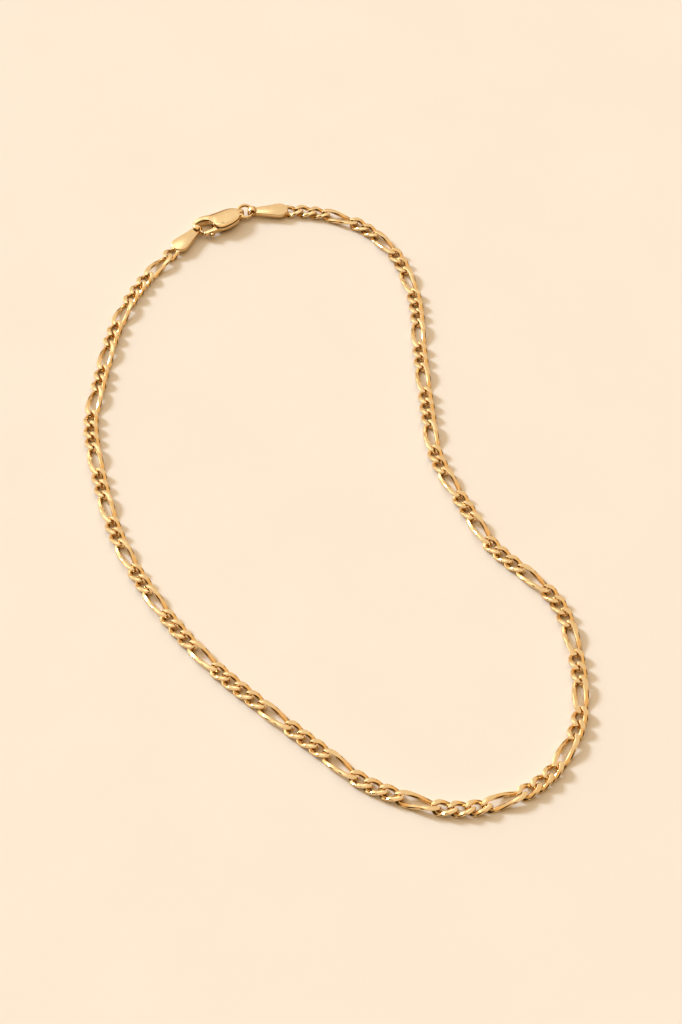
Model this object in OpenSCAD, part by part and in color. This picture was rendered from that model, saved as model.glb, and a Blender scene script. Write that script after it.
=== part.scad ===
// Figaro chain necklace lying closed on a flat surface: short and long curb
// links in an uneven order, a flat end tag at each end, a jump ring and a
// lobster clasp. Millimetres, +Z up, the surface under the necklace is z = 0.

/* [Links] */
// Diameter of the wire of every link
wire_d = 1.05; // [0.95:0.05:1.1]
// Width of every link across the chain
link_w = 3.8; // [3.6:0.05:4.1]
// Outside length of a short link
short_l = 5.75; // [5.5:0.05:6.1]
// Outside length of a long link
long_l = 10.05; // [9.3:0.05:11.1]
// Free space between two wires where links bear on each other
link_gap = 0.15; // [0.14:0.01:0.2]
// Thickness left between the flats cut on the top and underside
link_t = 1.5; // [1.3:0.05:1.6]
// Twist of each half of a link about the chain's line
link_twist = 50; // [46:1:54]

/* [Tags] */
// Length of a tag from the end of its eye to its round rim
tag_l = 10.35; // [9.7:0.05:11]
// Width of a tag at its round end
tag_w = 4.5; // [4:0.1:4.9]
// Reach of a tag's round rim past the far bearing point of its soldered link
tag_lap = 0.75; // [0.45:0.05:1]
// Width of a tag beside its eye
tag_neck_w = 2.0; // [1.8:0.1:2.2]
// Thickness of the tag's plate
tag_t = 0.75; // [0.6:0.05:0.9]
// Height of the plate's underside over the surface
tag_z = 1.0; // [0.9:0.05:1.1]
// Wall of the rolled eye
eye_wall = 0.4; // [0.35:0.05:0.5]
// Bore of the rolled eye
eye_bore = 1.7; // [1.6:0.05:1.8]
// Length of the rolled eye across the tag
eye_l = 1.4; // [1.2:0.1:1.6]

/* [Jump ring] */
// Wire of the jump ring
ring_wire = 0.9; // [0.75:0.05:1]
// Outside diameter of the jump ring
ring_od = 4.6; // [4.4:0.1:4.8]
// Lean of the ring, far side raised
ring_lean = 15; // [8:1:17]

/* [Clasp] */
// Height of the clasp
clasp_h = 2.6; // [2.5:0.05:2.8]
// Bore through the tail for the jump ring
tail_bore = 1.9; // [1.8:0.05:2]
// Diameter of the lever's pin
pin_d = 0.8; // [0.6:0.05:0.9]
// Radial play of the pin in the body
pin_play = 0.02; // [0.01:0.01:0.05]
// Radial play of the lever on its pin
lever_play = 0.05; // [0.03:0.01:0.08]
// Thickness of the lever
lever_t = 1.2; // [1:0.05:1.4]
// Play between the lever and each side of its slot
slot_play = 0.1; // [0.05:0.01:0.15]
// Width of the lever's arm
arm_w = 1.05; // [0.9:0.05:1.1]
// Outside radius of the lever round its pin
knuckle_r = 0.75; // [0.7:0.05:0.8]
// Radius of the thumb knob
knob_r = 0.62; // [0.5:0.02:0.7]
// Space between the lever's end and the tip of the hook
gate_gap = 0.25; // [0.2:0.05:0.4]

/* [Hidden] */
$fn = 48;
// Short links before, between and after the long ones; the first and the last
// short link are soldered to the tags
runs = [3, 2, 2, 3, 2, 3, 2, 2, 3, 3, 2, 2, 3, 3, 3, 3, 4, 3, 2, 2, 2, 3, 2, 2, 3, 1];
// How the closed necklace lies, clockwise from the eye of the tag on the ring
route = [
    [-18.5, 87.5], [-10, 88.5], [5, 85], [16, 74.5], [21.5, 58], [22.5, 39.5],
    [24, 19], [25.5, 6], [32, -9.5], [37.5, -20.5], [50.5, -35.5], [54, -54],
    [52.5, -69], [43.5, -82.5], [27, -88], [10, -82.5], [1.5, -75.5], [-11.5, -64],
    [-24, -52], [-34.5, -38.5], [-44, -22], [-49.5, -6.5], [-54, 14],
    [-53.5, 25.5], [-50.5, 47], [-45, 62], [-37, 74.5], [-32.5, 80.5],
    [-22.1, 86.5]
];
steps = 12;
// Joint to joint lengths
bearing = wire_d + link_gap;
short_p = short_l - wire_d - bearing;
long_p = long_l - wire_d - bearing;
eye_r = eye_bore / 2 + eye_wall;
tag_p = tag_l - eye_r + short_p - tag_lap;
ring_r = (ring_od - ring_wire) / 2;
// The clasp's own frame: x from the hook to the tail
hook_seat = [0.05, -1.7];
tail_seat = [11.6, 0];
clasp_p = norm(tail_seat - hook_seat);
ring_p = 2 * ring_r + 0.05;
mid_z = clasp_h / 2;

runs_n = len(runs);
free_n = [for (i = [0:runs_n - 1]) runs[i] - (i == 0 || i == runs_n - 1 ? 1 : 0)];
is_long = [for (i = [0:runs_n - 1])
    each concat([for (j = [0:1:free_n[i] - 1]) 0], i < runs_n - 1 ? [1] : [])];
links_n = len(is_long);
half_n = floor(links_n / 2);
lengths = concat([tag_p], [for (k = is_long) k == 1 ? long_p : short_p],
    [tag_p, clasp_p, ring_p]);
function sums(v) = [for (i = 0, s = 0; i <= len(v); s = s + (i < len(v) ? v[i] : 0), i = i + 1) s];
marks = sums(lengths);

// Smooth closed curve through the route
function bend(a, b, c, d, t) = 0.5 * (2 * b + (c - a) * t
    + (2 * a - 5 * b + 4 * c - d) * t * t + (3 * b - 3 * c + d - a) * t * t * t);
route_n = len(route);
open_track = [for (i = [0:route_n - 1]) for (j = [0:steps - 1])
    bend(route[(i + route_n - 1) % route_n], route[i], route[(i + 1) % route_n],
        route[(i + 2) % route_n], j / steps)];
track = concat(open_track, [open_track[0]]);
track_s = sums([for (i = [0:len(track) - 2]) norm(track[i + 1] - track[i])]);
track_l = track_s[len(track_s) - 1];
x_table = [for (i = [0:len(track) - 1]) [track_s[i], track[i][0]]];
y_table = [for (i = [0:len(track) - 1]) [track_s[i], track[i][1]]];
// The curve is sized so that the whole necklace fits round it once
loop_k = marks[len(marks) - 1] / track_l;
joint = [for (m = marks) loop_k * [lookup(m / loop_k, x_table), lookup(m / loop_k, y_table)]];
last = len(joint) - 1;

function unit(v) = v / norm(v);
function yaw(v) = atan2(v[1], v[0]);
function clip(v) = min(1, max(0, v));

// One link: two bent ends joined by straight sides, twisted about its length
link_b = (link_w - wire_d) / 2;
short_a = (short_l - wire_d) / 2;
function link_line(l) =
    let (a = (l - wire_d) / 2, h = a - link_b,
         right = [for (t = [-90:30:90]) [h + link_b * cos(t), link_b * sin(t)]],
         all = concat(right, -right))
    [for (p = all)
        let (x = abs(p[0]), f = clip((x - a + short_a) / short_a) * sign(p[0]))
        [p[0], p[1] * cos(-link_twist * f), p[1] * sin(-link_twist * f)]];
function link_points(l) =
    let (c = link_line(l), n = len(c))
    [for (i = [0:n - 1])
        let (d = unit(c[(i + 1) % n] - c[(i + n - 1) % n]),
             s = unit([-d[1], d[0], 0]), u = cross(d, s))
        for (k = [0:5])
            let (p = c[i] + wire_d / 2 * (cos(60 * k) * s + sin(60 * k) * u))
            [p[0], p[1], min(link_t / 2, max(-link_t / 2, p[2]))]];
line_n = 14;
link_faces = [for (i = [0:line_n - 1]) for (k = [0:5])
    let (j = (i + 1) % line_n, m = (k + 1) % 6)
    each [[6 * i + k, 6 * j + k, 6 * j + m], [6 * i + k, 6 * j + m, 6 * i + m]]];
short_points = link_points(short_l);
long_points = link_points(long_l);
function placed(points, c, v) = [for (p = points)
    [c[0] + v[0] * p[0] - v[1] * p[1], c[1] + v[1] * p[0] + v[0] * p[1], link_t / 2 + p[2]]];

module links(first, end) {
    polyhedron(
        points = [for (i = [first:end - 1])
            each placed(is_long[i] == 1 ? long_points : short_points,
                (joint[i + 1] + joint[i + 2]) / 2, unit(joint[i + 2] - joint[i + 1]))],
        faces = [for (i = [first:end - 1]) for (f = link_faces)
            [for (v = f) v + (i - first) * 6 * line_n]]);
}

// Tag: flat plate with a rolled eye and the last short link soldered under it;
// x = 0 where the next link bears, eye towards -x
module tag() {
    rim_x = tag_lap - short_p;
    eye_x = -tag_p;
    wide_x = rim_x - tag_w / 2;
    polyhedron(points = placed(short_points, [-short_p / 2, 0], [1, 0]), faces = link_faces);
    difference() {
        union() {
            translate([0, 0, tag_z]) linear_extrude(tag_t) union() {
                translate([wide_x, 0]) circle(d = tag_w);
                polygon([
                    [eye_x, -tag_neck_w / 2 + 0.3], [eye_x + eye_r, -tag_neck_w / 2],
                    [wide_x - 0.25, -tag_w / 2 + 0.02], [wide_x - 0.25, tag_w / 2 - 0.02],
                    [eye_x + eye_r, tag_neck_w / 2], [eye_x, tag_neck_w / 2 - 0.3]
                ]);
            }
            translate([eye_x, 0, mid_z]) rotate([90, 0, 0]) cylinder(h = eye_l, r = eye_r, center = true);
        }
        translate([eye_x, 0, mid_z]) rotate([90, 0, 0]) cylinder(h = tag_w, d = eye_bore, center = true);
    }
}

// The tag is set from the link it pulls on
module set_tag(at, away) {
    v = at - away;
    translate([at[0], at[1], 0]) rotate([0, 0, yaw(v)]) tag();
}

// Clasp body: stations [outer x, y, inner x, y, foot, head room, bevel] swept
// from the tail round the claw to the tip of the hook
tip_x = 1.05;
stations = [
    [13, 0.4, 13, -0.4, 0.45, 0.45, 0.15],
    [12.8, 0.6, 12.8, -0.6, 0.3, 0.3, 0.2],
    [12.3, 0.75, 12.3, -0.75, 0.15, 0.15, 0.25],
    [11.75, 0.85, 11.75, -0.95, 0.1, 0.1, 0.3],
    [11.5, 1.15, 11.5, -1.7, 0, 0, 0.4],
    [10.6, 1.8, 10.7, -3, 0, 0, 0.5],
    [9.2, 2.1, 8.8, -3.9, 0, 0, 0.55],
    [7.6, 2, 6.9, -4.35, 0, 0, 0.55],
    [6.2, 1.85, 5.2, -4.3, 0, 0, 0.5],
    [5.2, 1.8, 4.5, -3.1, 0, 0, 0.45],
    [4.2, 1.85, 3.9, -1.6, 0.05, 0.05, 0.42],
    [3.1, 2.1, 3.1, -0.25, 0.15, 0.2, 0.42],
    [2, 2.1, 2.1, 0.15, 0.2, 0.3, 0.42],
    [0.7, 1.5, 1.3, 0.05, 0.35, 0.35, 0.35],
    [-0.3, 0.75, 0.65, -0.15, 0.5, 0.5, 0.3],
    [-0.85, 0, 0.2, -0.4, 0.65, 0.65, 0.28],
    [-0.85, -0.95, 0.15, -0.9, 0.7, 0.7, 0.28],
    [-0.45, -2, 0.45, -1.5, 0.7, 0.7, 0.28],
    [0.05, -2.8, 0.85, -2.2, 0.7, 0.7, 0.28],
    [0.35, -3.7, 1.05, -3, 0.7, 0.7, 0.25],
    [tip_x, -4.35, tip_x, -3.55, 0.75, 0.75, 0.2]
];
function section(s) =
    let (o = [s[0], s[1]], i = [s[2], s[3]], w = unit(i - o) * s[6],
         z0 = s[4], z1 = clasp_h - s[5], b = s[6])
    [[o[0], o[1], z0 + b], [o[0] + w[0], o[1] + w[1], z0], [i[0] - w[0], i[1] - w[1], z0],
     [i[0], i[1], z0 + b], [i[0], i[1], z1 - b], [i[0] - w[0], i[1] - w[1], z1],
     [o[0] + w[0], o[1] + w[1], z1], [o[0], o[1], z1 - b]];
st_n = len(stations);
body_points = [for (s = stations) each section(s)];
body_faces = concat(
    [[for (k = [0:7]) k]],
    [for (i = [0:st_n - 2]) for (k = [0:7])
        let (m = (k + 1) % 8)
        each [[8 * i + k, 8 * i + 8 + k, 8 * i + 8 + m], [8 * i + k, 8 * i + 8 + m, 8 * i + m]]],
    [[for (k = [7:-1:0]) 8 * (st_n - 1) + k]]);

pivot = [6.35, -3.2];
lever_z = (clasp_h - lever_t) / 2;
gate_x = tip_x + gate_gap;
arm_y = -3.95;

// Moves a piece from the clasp's own frame to its place
module at_clasp() {
    v = joint[last - 1] - joint[last - 2];
    turn = yaw(v) - yaw(tail_seat - hook_seat);
    seat = (hook_seat + tail_seat) / 2;
    mid = (joint[last - 1] + joint[last - 2]) / 2;
    translate([mid[0], mid[1], 0]) rotate([0, 0, turn]) translate([-seat[0], -seat[1], 0]) children();
}

module chain_right() { color("gold") links(0, half_n); }
module chain_left() { color("gold") links(half_n, links_n); }
module ring_tag() { color("goldenrod") set_tag(joint[1], joint[0]); }
module hook_tag() { color("goldenrod") set_tag(joint[last - 3], joint[last - 2]); }

module jump_ring() {
    v = joint[last - 1] - joint[last - 2];
    turn = yaw(v) - yaw(tail_seat - hook_seat);
    tail = joint[last - 1] + ring_r * [cos(turn), sin(turn)];
    eye = joint[1] - (tag_p + ring_r) * unit(joint[1] - joint[0]);
    c = (tail + eye) / 2;
    color("khaki")
    translate([c[0], c[1], mid_z + 0.06])
    rotate([0, 0, yaw(joint[last] - joint[last - 1])])
    rotate([ring_lean, 0, 0])
    rotate_extrude() translate([ring_r, 0]) circle(d = ring_wire);
}

module clasp_body() {
    slot_z = lever_z - slot_play;
    slot_h = lever_t + 2 * slot_play;
    color("orange") at_clasp()
    difference() {
        polyhedron(points = body_points, faces = body_faces);
        translate([tail_seat[0], 0, mid_z]) rotate([90, 0, 0])
            cylinder(h = 12, d = tail_bore, center = true);
        translate([0, 0, slot_z]) linear_extrude(slot_h) union() {
            translate(pivot) circle(r = knuckle_r + 0.2);
            polygon([
                [pivot[0], pivot[1] + knuckle_r + 0.2], [pivot[0] - 1.2, pivot[1] + 1.5],
                [pivot[0] - 3.4, pivot[1] + 2.3], [pivot[0] - 3.4, pivot[1] - 2],
                [pivot[0], pivot[1] - 2]
            ]);
        }
        translate([pivot[0], pivot[1], -1]) cylinder(h = clasp_h + 2, d = pin_d + 2 * pin_play);
    }
}

module clasp_lever() {
    color("yellow") at_clasp() translate([0, 0, lever_z])
    difference() {
        linear_extrude(lever_t) union() {
            translate(pivot) circle(r = knuckle_r);
            polygon([
                [pivot[0] - 0.2, pivot[1] + knuckle_r - 0.05], [4.8, arm_y + arm_w / 2 + 0.15],
                [3.4, arm_y + arm_w / 2], [gate_x, arm_y + arm_w / 2],
                [gate_x + 0.1, arm_y - arm_w / 2], [pivot[0] - 0.75, arm_y - arm_w / 2],
                [pivot[0] - 0.1, pivot[1] - knuckle_r + 0.02]
            ]);
            translate([3, arm_y - arm_w / 2 - 0.3]) circle(r = knob_r);
        }
        translate([pivot[0], pivot[1], -1]) cylinder(h = lever_t + 2, d = pin_d + 2 * lever_play);
    }
}

module lever_pin() {
    color("peru") at_clasp() translate([pivot[0], pivot[1], 0.05])
        cylinder(h = clasp_h - 0.1, d = pin_d);
}

chain_right();
chain_left();
ring_tag();
hook_tag();
jump_ring();
clasp_body();
clasp_lever();
lever_pin();
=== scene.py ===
import math
import random
import bpy
import bmesh
from mathutils import Matrix, Vector


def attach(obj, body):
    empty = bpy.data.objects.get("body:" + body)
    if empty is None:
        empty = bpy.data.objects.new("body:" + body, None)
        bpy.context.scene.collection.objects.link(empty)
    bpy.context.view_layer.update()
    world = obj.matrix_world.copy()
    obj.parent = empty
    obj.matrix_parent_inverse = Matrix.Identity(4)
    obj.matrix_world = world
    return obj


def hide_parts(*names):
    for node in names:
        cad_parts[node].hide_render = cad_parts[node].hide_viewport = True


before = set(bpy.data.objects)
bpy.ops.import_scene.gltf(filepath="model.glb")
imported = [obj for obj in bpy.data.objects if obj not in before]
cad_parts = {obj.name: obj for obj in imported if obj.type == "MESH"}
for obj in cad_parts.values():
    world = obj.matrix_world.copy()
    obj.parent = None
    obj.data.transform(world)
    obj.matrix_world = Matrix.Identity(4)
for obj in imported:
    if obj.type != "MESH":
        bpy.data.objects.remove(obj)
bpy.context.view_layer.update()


# Short links. Each is gold wire bent into an oval, soldered shut, rolled lightly
# and twisted 100 degrees end to end, then milled level on both faces with a
# diamond tool, so it has bright flat faces and round flanks.
def mm(v):
    return v * 0.001


def begin():
    """Leaves edit mode and deselects everything."""
    if bpy.context.object and bpy.context.object.mode != "OBJECT":
        bpy.ops.object.mode_set(mode="OBJECT")
    bpy.ops.object.select_all(action="DESELECT")


def pick(piece, where):
    """Selects, in edit mode, the vertices of the piece for which where(co) is true."""
    bpy.ops.object.mode_set(mode="OBJECT")
    for v in piece.data.vertices:
        v.select = where(v.co)
    for e in piece.data.edges:
        e.select = all(piece.data.vertices[i].select for i in e.vertices)
    for p in piece.data.polygons:
        p.select = all(piece.data.vertices[i].select for i in p.vertices)
    bpy.ops.object.mode_set(mode="EDIT")


def apply_all(piece):
    """Applies the modifiers of the piece, which is the active object."""
    for m in list(piece.modifiers):
        bpy.ops.object.modifier_apply(modifier=m.name)


wire = mm(1.16)
link_width = mm(3.7)
link_thick = mm(1.5)
short_length = mm(5.85)
rolled_half = mm(0.46)
# extra rows of vertices along the straight sides, in mm, so that they twist smoothly
short_rows = (-0.7, 0, 0.7)
slack = mm(0.02)
cut_weld = 1e-7
bend_radius = (link_width - wire) / 2
half_line = (short_length - wire) / 2

begin()
bpy.ops.mesh.primitive_torus_add(major_segments=32, minor_segments=12,
                                 major_radius=bend_radius, minor_radius=wire / 2)
short_link = bpy.context.object
short_link.name = "short_link"
bpy.ops.object.mode_set(mode="EDIT")
bpy.ops.mesh.select_mode(type="VERT")
for side in (1, -1):
    pick(short_link, lambda co: co.x * side > slack)
    bpy.ops.transform.translate(value=(side * (half_line - bend_radius), 0, 0))
for x in short_rows:
    bpy.ops.mesh.select_all(action="SELECT")
    bpy.ops.mesh.bisect(plane_co=(mm(x), 0, 0), plane_no=(1, 0, 0), threshold=cut_weld)
# the flats that rolling leaves on the wire, which the twist then carries round
for z in (1, -1):
    pick(short_link, lambda co: co.z * z > rolled_half - slack)
    bpy.ops.transform.resize(value=(1, 1, 0), center_override=(0, 0, z * rolled_half))
bpy.ops.object.mode_set(mode="OBJECT")

# Long links. The same wire and the same bent ends, pulled out to nearly twice
# the length, with plain straight sides. Both kinds are then twisted, milled and
# tumbled alike, which leaves a very small round along the milled edges.
long_length = mm(10.15)
long_rows = (-3, -2.2, -1.2, 1.2, 2.2, 3)
half_twist = math.radians(50)
tumbled_edge = mm(0.09)
begin()
short_link.select_set(True)
bpy.context.view_layer.objects.active = short_link
bpy.ops.object.duplicate()
long_link = bpy.context.object
long_link.name = "long_link"
bpy.ops.object.mode_set(mode="EDIT")
for side in (1, -1):
    pick(long_link, lambda co: co.x * side > slack)
    bpy.ops.transform.translate(value=(side * (long_length - short_length) / 2, 0, 0))
for x in long_rows:
    bpy.ops.mesh.select_all(action="SELECT")
    bpy.ops.mesh.bisect(plane_co=(mm(x), 0, 0), plane_no=(1, 0, 0), threshold=cut_weld)
bpy.ops.object.mode_set(mode="OBJECT")

for piece, length in ((short_link, short_length), (long_link, long_length)):
    begin()
    piece.select_set(True)
    bpy.context.view_layer.objects.active = piece
    twist = piece.modifiers.new("twist", "SIMPLE_DEFORM")
    twist.deform_method = "TWIST"
    twist.deform_axis = "X"
    # half_twist is reached at the middle of the wire at each end
    twist.angle = -half_twist * length / (length / 2 - wire / 2)
    apply_all(piece)
    bpy.ops.object.mode_set(mode="EDIT")
    for z in (1, -1):
        bpy.ops.mesh.select_all(action="SELECT")
        bpy.ops.mesh.bisect(plane_co=(0, 0, z * link_thick / 2), plane_no=(0, 0, z),
                            clear_outer=True, threshold=cut_weld)
    bpy.ops.mesh.select_all(action="SELECT")
    bpy.ops.mesh.remove_doubles(threshold=mm(0.001))
    bpy.ops.mesh.select_all(action="SELECT")
    bpy.ops.mesh.fill_holes(sides=0)
    bpy.ops.mesh.select_all(action="SELECT")
    bpy.ops.mesh.normals_make_consistent(inside=False)
    bpy.ops.object.mode_set(mode="OBJECT")
    chamfer = piece.modifiers.new("chamfer", "BEVEL")
    chamfer.width = tumbled_edge
    chamfer.segments = 2
    chamfer.limit_method = "ANGLE"
    chamfer.angle_limit = math.radians(32)
    apply_all(piece)
    bpy.ops.object.shade_smooth_by_angle(angle=math.radians(24))


# The two halves of the chain, each of 44 loose links laid one through the next.
# A link takes its place from the solid that it stands for: the solid's middle
# and the way its long side points. No two rest on the table quite alike.
# a link that reaches further than this from its middle is a long one
long_reach = mm(3.8)
most_roll = math.radians(2.4)
most_pitch = math.radians(1.2)
rest = random.Random(11)


def laid_links(cad_node):
    """The middle, the turn and, as true or false, the long kind of each loose link,
    in order round the loop, so that each run gives every link the same rest."""
    bm = bmesh.new()
    bm.from_mesh(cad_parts[cad_node].data)
    bmesh.ops.remove_doubles(bm, verts=bm.verts, dist=1e-6)
    left = set(bm.verts)
    laid = []
    for start in bm.verts:
        if start not in left:
            continue
        left.remove(start)
        island, edge = [start], [start]
        while edge:
            v = edge.pop()
            for e in v.link_edges:
                w = e.other_vert(v)
                if w in left:
                    left.remove(w)
                    island.append(w)
                    edge.append(w)
        pts = [v.co.copy() for v in island]
        mid = sum(pts, Vector()) / len(pts)
        xx = sum((p.x - mid.x) ** 2 for p in pts)
        yy = sum((p.y - mid.y) ** 2 for p in pts)
        xy = sum((p.x - mid.x) * (p.y - mid.y) for p in pts)
        turn = 0.5 * math.atan2(2 * xy, xx - yy)
        along = Vector((math.cos(turn), math.sin(turn), 0))
        reach = max((p - mid).dot(along) for p in pts)
        laid.append((mid, turn, reach > long_reach))
    bm.free()
    return sorted(laid, key=lambda link: math.atan2(link[0].y, link[0].x))


def colour(hex_value):
    parts = [int(hex_value[i:i + 2], 16) / 255 for i in (1, 3, 5)]
    return tuple(c / 12.92 if c <= 0.04045 else ((c + 0.055) / 1.055) ** 2.4 for c in parts) + (1.0,)


def node(tree, kind, settings=None, links=None):
    n = tree.nodes.new(kind)
    for key, value in (settings or {}).items():
        if key in n.inputs and not hasattr(n, key):
            n.inputs[key].default_value = value
        else:
            setattr(n, key, value)
    for key, source in (links or {}).items():
        tree.links.new(source, n.inputs[key])
    return n


# 14 carat yellow gold, a warm alloy of gold, silver and copper. Milled or buffed
# it is nearly a mirror, with the faint waves of hand work, soft patches of a
# deeper tint, and hairlines that spread each glint a little. Real hairlines are
# about 0.02 mm wide, too fine to show, so they are drawn 0.25 mm or more apart.
def gold(name, bright_hex, deep_hex, rough_low, rough_high, hairline):
    m = bpy.data.materials.new(name)
    m.use_nodes = True
    t = m.node_tree
    t.nodes.clear()
    place = node(t, "ShaderNodeTexCoord").outputs["Object"]
    cloud = node(t, "ShaderNodeTexNoise", {"Scale": 1 / mm(2.4), "Detail": 3.0}, {"Vector": place})
    buff = node(t, "ShaderNodeTexNoise", {"Scale": 1 / hairline, "Detail": 4.0, "Roughness": 0.6},
                {"Vector": place})
    tint = node(t, "ShaderNodeMix", {"data_type": "RGBA"}, {0: cloud.outputs["Fac"]})
    tint.inputs[6].default_value = colour(bright_hex)
    tint.inputs[7].default_value = colour(deep_hex)
    rough = node(t, "ShaderNodeMapRange",
                 {"From Min": 0.3, "From Max": 0.7, "To Min": rough_low, "To Max": rough_high},
                 {"Value": buff.outputs["Fac"]})
    wave = node(t, "ShaderNodeBump", {"Strength": 0.12, "Distance": mm(0.01)},
                {"Height": cloud.outputs["Fac"]})
    fine = node(t, "ShaderNodeBump", {"Strength": 0.08, "Distance": mm(0.004)},
                {"Height": buff.outputs["Fac"], "Normal": wave.outputs["Normal"]})
    skin = node(t, "ShaderNodeBsdfPrincipled", {"Metallic": 1.0},
                {"Base Color": tint.outputs[2], "Roughness": rough.outputs["Result"],
                 "Normal": fine.outputs["Normal"]})
    node(t, "ShaderNodeOutputMaterial", None, {"Surface": skin.outputs["BSDF"]})
    return m


def finish_piece(piece, name, material, body, slot_name, *stands_for):
    piece.name = name
    piece.data.name = name
    piece.data.materials.clear()
    piece.data.materials.append(material)
    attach(piece, body)
    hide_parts(*stands_for)


def laid_copy(source, mid, turn, roll=0.0, pitch=0.0):
    """A copy with its own mesh, tipped, turned and set down on the table at mid."""
    copy = source.copy()
    copy.data = source.data.copy()
    copy.data.transform(Matrix.Rotation(turn, 4, "Z") @ Matrix.Rotation(pitch, 4, "Y")
                        @ Matrix.Rotation(roll, 4, "X"))
    foot = min(v.co.z for v in copy.data.vertices)
    copy.data.transform(Matrix.Translation((mid[0], mid[1], -foot)))
    bpy.context.collection.objects.link(copy)
    return copy


def joined(pieces):
    begin()
    for p in pieces:
        p.select_set(True)
    bpy.context.view_layer.objects.active = pieces[0]
    bpy.ops.object.join()
    return bpy.context.object


milled_gold = gold("yellow_gold_milled", "#F1D5A3", "#E6C08A", 0.12, 0.2, mm(0.35))
for cad_node, name in (("chain_right", "links_right"), ("chain_left", "links_left")):
    copies = [laid_copy(long_link if is_long else short_link, mid, turn,
                        roll=most_roll * rest.uniform(-1, 1), pitch=most_pitch * rest.uniform(-1, 1))
              for mid, turn, is_long in laid_links(cad_node)]
    finish_piece(joined(copies), name, milled_gold, "necklace", "gold_links", cad_node)


# End tags. Each is a teardrop stamped from gold sheet, its narrow end rolled
# into an eye, its round end soldered over the chain's last short link. The
# faces are left bare and buffed.
tag_reach = mm(11.85)
tag_pitch = mm(3.5)
tag_radius = mm(2.25)
tag_lap = mm(0.75)
plate_x = tag_lap - tag_pitch - tag_radius
plate_radius = tag_radius - mm(0.02)
plate_thick = mm(1.05)
plate_mid_z = mm(1.215)
plate_edge = mm(0.18)
plate_short_of_eye = mm(1.05)
eye_radius = mm(1.24)
eye_width = mm(1.38)
eye_wall = mm(0.38)
eye_rim = mm(0.08)
eye_mid_z = mm(1.3)
# keeps a round's middle rows of vertices out of a pick
margin = mm(0.1)
buffed_gold = gold("yellow_gold_buffed", "#F1D5A3", "#E8C492", 0.13, 0.22, mm(0.25))
for cad_node, name, place, turn in (
    ("ring_tag", "tag_at_ring", (mm(-6.912), mm(88.765)), math.radians(3.133)),
    ("hook_tag", "tag_at_hook", (mm(-39.404), mm(71.952)), math.radians(-126.876)),
):
    begin()
    bpy.ops.mesh.primitive_cylinder_add(vertices=48, radius=plate_radius, depth=plate_thick,
                                        location=(plate_x, 0, plate_mid_z))
    bpy.ops.object.transform_apply(location=True, rotation=True, scale=True)
    plate = bpy.context.object
    bpy.ops.object.mode_set(mode="EDIT")
    pick(plate, lambda co: co.x < plate_x - margin)
    bpy.ops.transform.resize(value=(0.28, 0.52, 1), center_override=(plate_x, 0, 0))
    bpy.ops.transform.translate(value=(plate_short_of_eye - tag_reach - plate_x, 0, 0))
    bpy.ops.object.mode_set(mode="OBJECT")
    edge = plate.modifiers.new("edge", "BEVEL")
    edge.width = plate_edge
    edge.segments = 3
    edge.limit_method = "ANGLE"
    edge.angle_limit = math.radians(50)
    apply_all(plate)
    begin()
    bpy.ops.mesh.primitive_cylinder_add(vertices=40, radius=eye_radius, depth=eye_width,
                                        end_fill_type="NOTHING", location=(-tag_reach, 0, eye_mid_z),
                                        rotation=(math.pi / 2, 0, 0))
    bpy.ops.object.transform_apply(location=True, rotation=True, scale=True)
    eye = bpy.context.object
    wall = eye.modifiers.new("wall", "SOLIDIFY")
    wall.thickness = eye_wall
    wall.offset = -1
    rim = eye.modifiers.new("rim", "BEVEL")
    rim.width = eye_rim
    rim.segments = 2
    rim.limit_method = "ANGLE"
    rim.angle_limit = math.radians(50)
    apply_all(eye)
    end_link = laid_copy(short_link, (-tag_pitch / 2, 0), 0)
    tag = joined([plate, eye, end_link])
    bpy.ops.object.shade_smooth_by_angle(angle=math.radians(30))
    tag.data.transform(Matrix.Translation((place[0], place[1], 0)) @ Matrix.Rotation(turn, 4, "Z"))
    finish_piece(tag, name, buffed_gold, "necklace", "gold_tags", cad_node)
# the two pattern links are all copied now
for pattern in (short_link, long_link):
    bpy.data.objects.remove(pattern, do_unlink=True)


# Jump ring: one turn of round gold wire through the clasp's tail and the eye of
# one tag, closed so tightly that only a hairline shows where its ends meet.
ring_wire = mm(0.89)
ring_radius = mm(1.85)
ring_mid = (mm(-20.536), mm(87.915), mm(1.36))
ring_turn = math.radians(15.354)
ring_lean = math.radians(15)
seam_turn = math.radians(-75)
seam_half = 0.012
seam_dip = 0.95
begin()
bpy.ops.mesh.primitive_torus_add(major_segments=72, minor_segments=18,
                                 major_radius=ring_radius, minor_radius=ring_wire / 2)
ring = bpy.context.object
bpy.ops.object.mode_set(mode="EDIT")
bpy.ops.mesh.select_mode(type="VERT")
for step in (-seam_half, 0, seam_half):
    bpy.ops.mesh.select_all(action="SELECT")
    a = seam_turn + step
    bpy.ops.mesh.bisect(plane_co=(0, 0, 0), plane_no=(-math.sin(a), math.cos(a), 0), threshold=cut_weld)
pick(ring, lambda co: abs(math.atan2(co.y, co.x) - seam_turn) < seam_half / 3)
seam_at = (ring_radius * math.cos(seam_turn), ring_radius * math.sin(seam_turn), 0)
bpy.ops.transform.resize(value=(seam_dip, seam_dip, seam_dip), center_override=seam_at)
bpy.ops.object.mode_set(mode="OBJECT")
bpy.ops.object.shade_smooth_by_angle(angle=math.radians(60))
ring.data.transform(Matrix.Translation(ring_mid) @ Matrix.Rotation(ring_turn, 4, "Z")
                    @ Matrix.Rotation(ring_lean, 4, "X"))
finish_piece(ring, "closed_ring", buffed_gold, "necklace", "gold_findings", "jump_ring")


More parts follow.
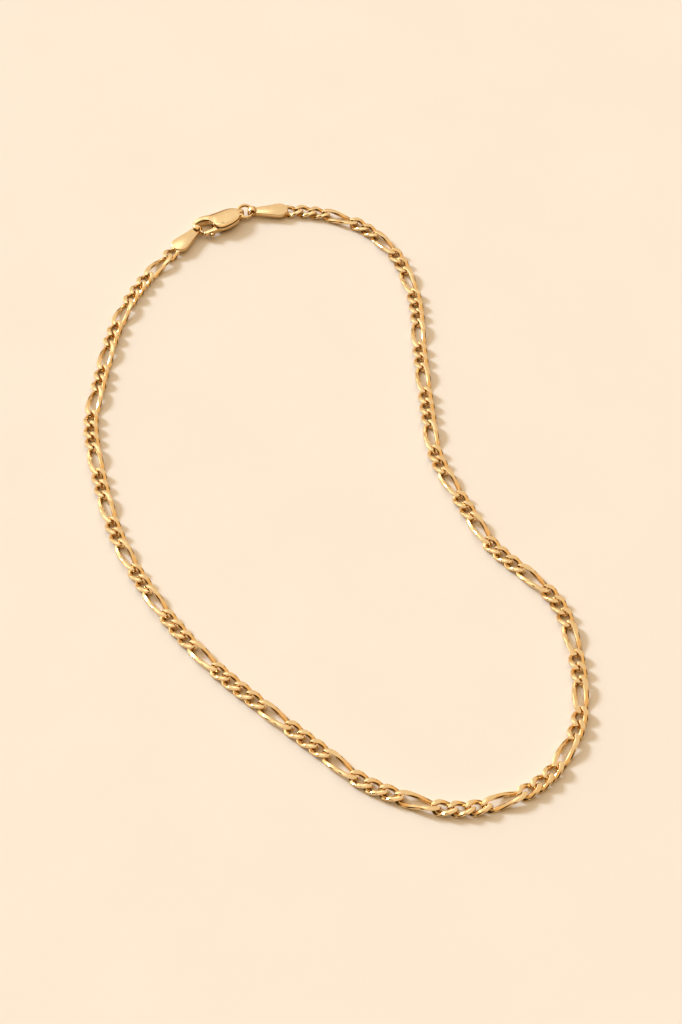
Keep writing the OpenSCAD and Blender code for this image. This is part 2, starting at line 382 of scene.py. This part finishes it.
# Clasp body: a lobster claw of cast and buffed gold, with level top and
# underside, softened shoulders, a cross hole in the tail for the jump ring and a
# slot on the inside that takes the lever.
clasp_place = (Matrix.Translation((mm(-33.0077), mm(82.9335), 0))
               @ Matrix.Rotation(math.radians(21.289), 4, "Z"))
clasp_height = mm(2.6)
clasp_mid_z = mm(1.3)
tail_hole_x = mm(11.6)
tail_hole_radius = mm(0.95)
tail_drill = mm(12)
pivot = (mm(6.35), mm(-3.2))
pin_hole_radius = mm(0.42)
pin_drill = mm(5)
slot_radius = mm(0.95)
slot_height = mm(1.4)
slot_split_y = pivot[1] - mm(0.2)
slot_mouth_shift = (mm(-1.9), mm(0.9), 0)
slot_side_shift = (mm(-2.6), mm(-1.0), 0)
body_from = mm(2.4)
most_fall_o, most_fall_i = 0.42, 0.5
# each row in mm, from tail to hook tip: outer x, y, inner x, y, rise of the foot,
# drop of the top, slopes of the outer and inner shoulders
claw = [
    (13.0, 0.4, 13.0, -0.4, 0.45, 0.45, 0.15, 0.15), (12.8, 0.6, 12.8, -0.6, 0.3, 0.3, 0.2, 0.2),
    (12.3, 0.75, 12.3, -0.75, 0.15, 0.15, 0.25, 0.25), (11.75, 0.85, 11.75, -0.95, 0.1, 0.1, 0.3, 0.3),
    (11.6, 1.1, 11.6, -1.7, 0.0, 0.0, 0.4, 0.35), (10.9, 1.75, 11.0, -3.0, 0.0, 0.0, 0.75, 0.4),
    (9.5, 2.25, 8.9, -3.95, 0.0, 0.0, 1.0, 0.45), (8.3, 2.15, 7.2, -4.38, 0.0, 0.0, 1.1, 0.5),
    (7.0, 1.95, 5.9, -4.5, 0.0, 0.0, 1.2, 0.5), (6.0, 1.85, 4.9, -4.2, 0.0, 0.0, 1.25, 0.45),
    (5.3, 1.8, 4.4, -3.1, 0.0, 0.02, 1.3, 0.4), (4.6, 1.85, 3.9, -1.7, 0.05, 0.15, 1.2, 0.4),
    (4.0, 1.9, 3.5, -0.7, 0.1, 0.3, 0.7, 0.4), (2.9, 2.08, 2.75, -0.1, 0.15, 0.4, 0.55, 0.45),
    (1.9, 2.05, 2.1, 0.1, 0.2, 0.4, 0.5, 0.45), (0.7, 1.5, 1.3, 0.05, 0.35, 0.45, 0.42, 0.4),
    (-0.3, 0.75, 0.65, -0.15, 0.5, 0.5, 0.3, 0.3), (-0.85, 0.0, 0.2, -0.4, 0.65, 0.65, 0.28, 0.28),
    (-0.85, -0.95, 0.15, -0.9, 0.7, 0.7, 0.28, 0.28), (-0.45, -2.0, 0.45, -1.5, 0.7, 0.7, 0.28, 0.28),
    (0.05, -2.8, 0.85, -2.2, 0.7, 0.7, 0.28, 0.28), (0.35, -3.7, 1.05, -3.0, 0.7, 0.7, 0.25, 0.25),
    (1.05, -4.35, 1.05, -3.55, 0.75, 0.75, 0.2, 0.2),
]
shell = bmesh.new()
rings = []
for ox, oy, ix, iy, rise, drop, slope_o, slope_i in claw:
    o, i = Vector((mm(ox), mm(oy), 0)), Vector((mm(ix), mm(iy), 0))
    across = (i - o).normalized()
    low, high = mm(rise), clasp_height - mm(drop)
    fall_o, fall_i = mm(min(slope_o, most_fall_o)), mm(min(slope_i, most_fall_i))
    if (i - o).length > body_from:
        under_o, under_i, tuck = mm(0.8), mm(1.25), mm(1.1)
    else:
        under_o = under_i = tuck = mm(0.28)
    corners = [(o, low + under_o), (o + across * under_o, low), (i - across * tuck, low),
               (i, low + under_i), (i, high - fall_i), (i - across * mm(slope_i), high),
               (o + across * mm(slope_o), high), (o, high - fall_o)]
    rings.append([shell.verts.new((p.x, p.y, z)) for p, z in corners])
crease = shell.edges.layers.float.new("crease_edge")
for a, b in zip(rings, rings[1:]):
    for k in range(8):
        shell.faces.new((a[k], b[k], b[(k + 1) % 8], a[(k + 1) % 8]))
shell.faces.new(rings[0][::-1])
shell.faces.new(rings[-1])
# the edges of the level faces stay crisp, the others are rounder
for a, b in zip(rings, rings[1:]):
    for k in (1, 2, 5, 6):
        shell.edges.get((a[k], b[k]))[crease] = 0.8
    for k in (0, 3, 4, 7):
        shell.edges.get((a[k], b[k]))[crease] = 0.35
for k in range(8):
    shell.edges.get((rings[0][k], rings[0][(k + 1) % 8]))[crease] = 0.8
    shell.edges.get((rings[-1][k], rings[-1][(k + 1) % 8]))[crease] = 0.6
bmesh.ops.recalc_face_normals(shell, faces=shell.faces)
claw_mesh = bpy.data.meshes.new("claw")
shell.to_mesh(claw_mesh)
shell.free()
claw_piece = bpy.data.objects.new("claw", claw_mesh)
bpy.context.collection.objects.link(claw_piece)
begin()
claw_piece.select_set(True)
bpy.context.view_layer.objects.active = claw_piece
soft = claw_piece.modifiers.new("soft", "SUBSURF")
soft.levels = soft.render_levels = 2
apply_all(claw_piece)


def cut_with(piece, cutter):
    begin()
    piece.select_set(True)
    bpy.context.view_layer.objects.active = piece
    cut = piece.modifiers.new("cut", "BOOLEAN")
    cut.operation = "DIFFERENCE"
    cut.solver = "EXACT"
    cut.object = cutter
    apply_all(piece)
    bpy.data.objects.remove(cutter, do_unlink=True)


begin()
bpy.ops.mesh.primitive_cylinder_add(vertices=40, radius=tail_hole_radius, depth=tail_drill,
                                    location=(tail_hole_x, 0, clasp_mid_z), rotation=(math.pi / 2, 0, 0))
cut_with(claw_piece, bpy.context.object)
begin()
bpy.ops.mesh.primitive_cylinder_add(vertices=40, radius=pin_hole_radius, depth=pin_drill,
                                    location=(pivot[0], pivot[1], clasp_mid_z))
cut_with(claw_piece, bpy.context.object)
# the slot runs from the pivot out through the mouth of the claw and its inner side
begin()
bpy.ops.mesh.primitive_cylinder_add(vertices=48, radius=slot_radius, depth=slot_height,
                                    location=(pivot[0], pivot[1], clasp_mid_z))
bpy.ops.object.transform_apply(location=True, rotation=True, scale=True)
slot_cut = bpy.context.object
bpy.ops.object.mode_set(mode="EDIT")
pick(slot_cut, lambda co: co.x < pivot[0] - margin and co.y > slot_split_y)
bpy.ops.transform.translate(value=slot_mouth_shift)
pick(slot_cut, lambda co: co.x < pivot[0] - margin and co.y <= slot_split_y)
bpy.ops.transform.translate(value=slot_side_shift)
bpy.ops.object.mode_set(mode="OBJECT")
cut_with(claw_piece, slot_cut)
begin()
claw_piece.select_set(True)
bpy.context.view_layer.objects.active = claw_piece
bpy.ops.object.shade_smooth_by_angle(angle=math.radians(35))
claw_piece.data.transform(clasp_place)
finish_piece(claw_piece, "claw_body", buffed_gold, "necklace", "gold_findings", "clasp_body")


# Lever: a small cast gold arm that swings in the slot of the claw, with a round
# thumb knob standing out at the side. A coil spring in the body keeps it shut.
arm_radius = mm(0.74)
arm_height = mm(1.18)
arm_edge = mm(0.12)
arm_tip_shift = (mm(1.55) - pivot[0], mm(-0.75), 0)
arm_hole_radius = mm(0.45)
arm_drill = mm(3)
knob_radius = mm(0.6)
knob_mid = (mm(3.0), mm(-4.78), mm(1.2))
begin()
bpy.ops.mesh.primitive_cylinder_add(vertices=48, radius=arm_radius, depth=arm_height,
                                    location=(pivot[0], pivot[1], clasp_mid_z))
bpy.ops.object.transform_apply(location=True, rotation=True, scale=True)
arm = bpy.context.object
bpy.ops.object.mode_set(mode="EDIT")
pick(arm, lambda co: co.x < pivot[0] - margin)
bpy.ops.transform.resize(value=(0.45, 0.66, 1), center_override=(pivot[0], pivot[1], 0))
bpy.ops.transform.translate(value=arm_tip_shift)
bpy.ops.object.mode_set(mode="OBJECT")
edge = arm.modifiers.new("edge", "BEVEL")
edge.width = arm_edge
edge.segments = 3
edge.limit_method = "ANGLE"
edge.angle_limit = math.radians(50)
apply_all(arm)
begin()
bpy.ops.mesh.primitive_uv_sphere_add(segments=32, ring_count=16, radius=knob_radius, location=knob_mid)
knob = bpy.context.object
bpy.ops.object.transform_apply(location=True, rotation=True, scale=True)
begin()
arm.select_set(True)
bpy.context.view_layer.objects.active = arm
add = arm.modifiers.new("knob", "BOOLEAN")
add.operation = "UNION"
add.solver = "EXACT"
add.object = knob
apply_all(arm)
bpy.data.objects.remove(knob, do_unlink=True)
begin()
bpy.ops.mesh.primitive_cylinder_add(vertices=40, radius=arm_hole_radius, depth=arm_drill,
                                    location=(pivot[0], pivot[1], clasp_mid_z))
cut_with(arm, bpy.context.object)
begin()
arm.select_set(True)
bpy.context.view_layer.objects.active = arm
bpy.ops.object.shade_smooth_by_angle(angle=math.radians(35))
arm.data.transform(clasp_place)
finish_piece(arm, "lever_arm", buffed_gold, "lever", "gold_findings", "clasp_lever")


# Lever pin: a plain gold pin pushed through the body and the lever, its two ends
# peened over to low domes.
pin_radius = mm(0.4)
pin_length = mm(2.5)
pin_dome = mm(0.12)
begin()
bpy.ops.mesh.primitive_cylinder_add(vertices=32, radius=pin_radius, depth=pin_length,
                                    location=(pivot[0], pivot[1], clasp_mid_z))
bpy.ops.object.transform_apply(location=True, rotation=True, scale=True)
pin = bpy.context.object
dome = pin.modifiers.new("dome", "BEVEL")
dome.width = pin_dome
dome.segments = 3
dome.limit_method = "ANGLE"
dome.angle_limit = math.radians(50)
apply_all(pin)
bpy.ops.object.shade_smooth_by_angle(angle=math.radians(50))
pin.data.transform(clasp_place)
finish_piece(pin, "hinge_pin", buffed_gold, "necklace", "gold_findings", "lever_pin")


# The table it lies on: smooth pale plaster, troweled flat. It is matt, with very
# faint clouds of tone about 30 mm across and a fine tooth.
table_size = 4
begin()
bpy.ops.mesh.primitive_plane_add(size=table_size, location=(0, 0, 0))
table = bpy.context.object
table.name = "table"
plaster = bpy.data.materials.new("cream_plaster")
plaster.use_nodes = True
t = plaster.node_tree
t.nodes.clear()
place = node(t, "ShaderNodeTexCoord").outputs["Object"]
mottle = node(t, "ShaderNodeTexNoise", {"Scale": 1 / mm(30), "Detail": 3.0}, {"Vector": place})
tooth = node(t, "ShaderNodeTexNoise", {"Scale": 1 / mm(1.5), "Detail": 3.0}, {"Vector": place})
tint = node(t, "ShaderNodeMix", {"data_type": "RGBA"}, {0: mottle.outputs["Fac"]})
tint.inputs[6].default_value = colour("#F3EDE4")
tint.inputs[7].default_value = colour("#F0E9DF")
grain = node(t, "ShaderNodeBump", {"Strength": 0.1, "Distance": mm(0.05)}, {"Height": tooth.outputs["Fac"]})
matt = node(t, "ShaderNodeBsdfPrincipled", {"Roughness": 0.85},
            {"Base Color": tint.outputs[2], "Normal": grain.outputs["Normal"]})
node(t, "ShaderNodeOutputMaterial", None, {"Surface": matt.outputs["BSDF"]})
table.data.materials.append(plaster)

# Light: soft studio light. Over a dim room lie a warm ceiling, a wide pale window
# high beyond the necklace with one brighter pane, and a lower window to the left.
# A low soft key lamp from the left throws the short shadows.
world = bpy.data.worlds.new("surround")
bpy.context.scene.world = world
world.use_nodes = True
t = world.node_tree
t.nodes.clear()
way = node(t, "ShaderNodeTexCoord").outputs["Generated"]
dim_room = colour("#241A0F")
light = None
# where each light is, how near that direction it starts and is full, strength, colour
for aim, start, full, strength, hex_value in (
    ((0, 0.35, 0.94), 0.3, 0.75, 1.05, "#FFD9A4"),
    ((-0.1, 0.62, 0.77), 0.75, 0.97, 1.0, "#FFF4E4"),
    ((-0.17, 0.62, 0.77), 0.984, 0.998, 2.1, "#FFFDF8"),
    ((-0.78, 0.55, 0.3), 0.8, 0.96, 2.3, "#FFF4E2"),
):
    near = node(t, "ShaderNodeVectorMath", {"operation": "DOT_PRODUCT"}, {0: way})
    near.inputs[1].default_value = Vector(aim).normalized()
    share = node(t, "ShaderNodeMapRange",
                 {"interpolation_type": "SMOOTHSTEP", "From Min": start, "From Max": full},
                 {"Value": near.outputs["Value"]})
    mixed = node(t, "ShaderNodeMix", {"data_type": "RGBA"}, {0: share.outputs["Result"]})
    if light is None:
        mixed.inputs[6].default_value = dim_room
    else:
        t.links.new(light, mixed.inputs[6])
    mixed.inputs[7].default_value = tuple(c * strength for c in colour(hex_value)[:3]) + (1.0,)
    light = mixed.outputs[2]
back = node(t, "ShaderNodeBackground", {"Strength": 1.0}, {"Color": light})
node(t, "ShaderNodeOutputWorld", None, {"Surface": back.outputs["Background"]})

key_data = bpy.data.lights.new("low_key", "SUN")
key_data.energy = 2.7
key_data.color = colour("#E2F0FF")[:3]
key_data.angle = math.radians(12)
key_lamp = bpy.data.objects.new("low_key", key_data)
key_lamp.location = (-0.81, 0.58, 0.5)
key_lamp.rotation_euler = (-key_lamp.location).to_track_quat("-Z", "Y").to_euler()
bpy.context.collection.objects.link(key_lamp)
bpy.context.scene.view_settings.view_transform = "Standard"

# Camera at the height and tilt of the photograph, whose lens is 2200 pixels long
# over its 1024 pixels of height.
look_down = 50.5
camera_data = bpy.data.cameras.new("camera")
camera = bpy.data.objects.new("camera", camera_data)
camera_data.sensor_width = 36
camera_data.lens = camera_data.sensor_width * 2200 / 1024
camera_data.clip_start = 0.01
camera.location = (mm(3.8), mm(-326.0), mm(383.7))
camera.rotation_euler = (math.radians(90 - look_down), 0, 0)
bpy.context.collection.objects.link(camera)
bpy.context.scene.camera = camera
